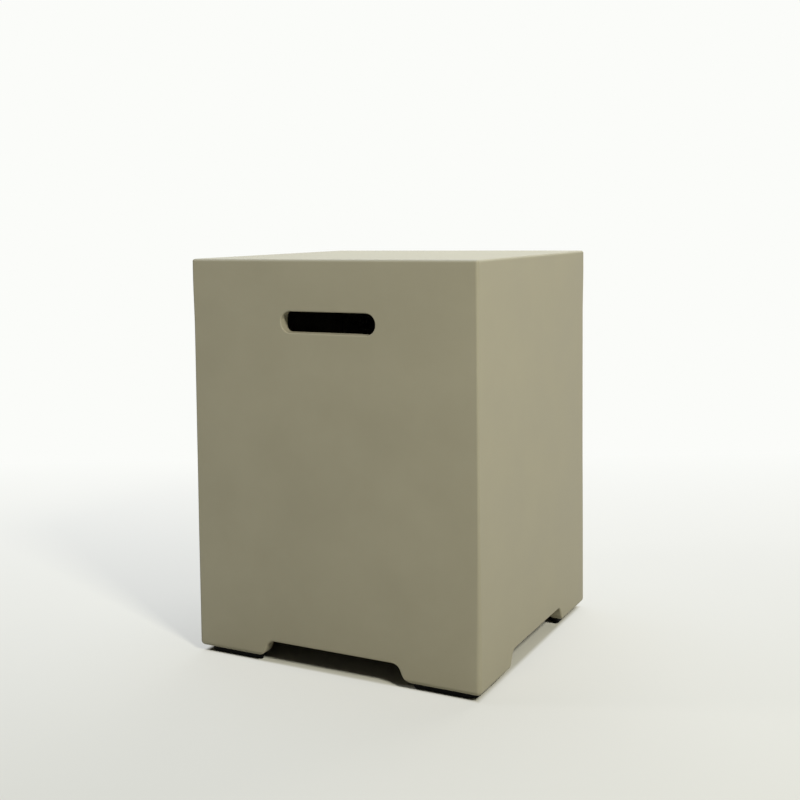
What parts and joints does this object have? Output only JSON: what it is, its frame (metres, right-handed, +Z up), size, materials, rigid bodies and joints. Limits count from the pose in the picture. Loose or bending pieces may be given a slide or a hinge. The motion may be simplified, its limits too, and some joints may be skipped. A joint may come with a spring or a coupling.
{
  "type": "gas cylinder cover table",
  "caption": "Square open-bottomed cast cover that hides a portable gas cylinder and serves as a side table, with a hand slot, four corner feet and screwed rubber pads.",
  "frame": {"origin": "on the floor, under the middle of the cover", "axes": "+Z up through the table top; -Y is the front, the wall with the hand slot that the picture shows; +X is to the right seen from the front"},
  "size_m": [0.4, 0.4, 0.52],
  "materials": {
    "coated_concrete": "satin",
    "pad_rubber": "matte",
    "zinc_plated_steel": "satin",
    "insert_brass": "satin"
  },
  "bodies": {
    "root": {"shell": "coated_concrete", "foot_pad_front_left": "pad_rubber", "pad_washer_front_left_a": "zinc_plated_steel", "pad_screw_front_left_a": "zinc_plated_steel", "cast_in_insert_front_left_a": "insert_brass", "pad_washer_front_left_b": "zinc_plated_steel", "pad_screw_front_left_b": "zinc_plated_steel", "cast_in_insert_front_left_b": "insert_brass", "foot_pad_front_right": "pad_rubber", "pad_washer_front_right_a": "zinc_plated_steel", "pad_screw_front_right_a": "zinc_plated_steel", "cast_in_insert_front_right_a": "insert_brass", "pad_washer_front_right_b": "zinc_plated_steel", "pad_screw_front_right_b": "zinc_plated_steel", "cast_in_insert_front_right_b": "insert_brass", "foot_pad_back_left": "pad_rubber", "pad_washer_back_left_a": "zinc_plated_steel", "pad_screw_back_left_a": "zinc_plated_steel", "cast_in_insert_back_left_a": "insert_brass", "pad_washer_back_left_b": "zinc_plated_steel", "pad_screw_back_left_b": "zinc_plated_steel", "cast_in_insert_back_left_b": "insert_brass", "foot_pad_back_right": "pad_rubber", "pad_washer_back_right_a": "zinc_plated_steel", "pad_screw_back_right_a": "zinc_plated_steel", "cast_in_insert_back_right_a": "insert_brass", "pad_washer_back_right_b": "zinc_plated_steel", "pad_screw_back_right_b": "zinc_plated_steel", "cast_in_insert_back_right_b": "insert_brass"}
  },
  "joints": []
}
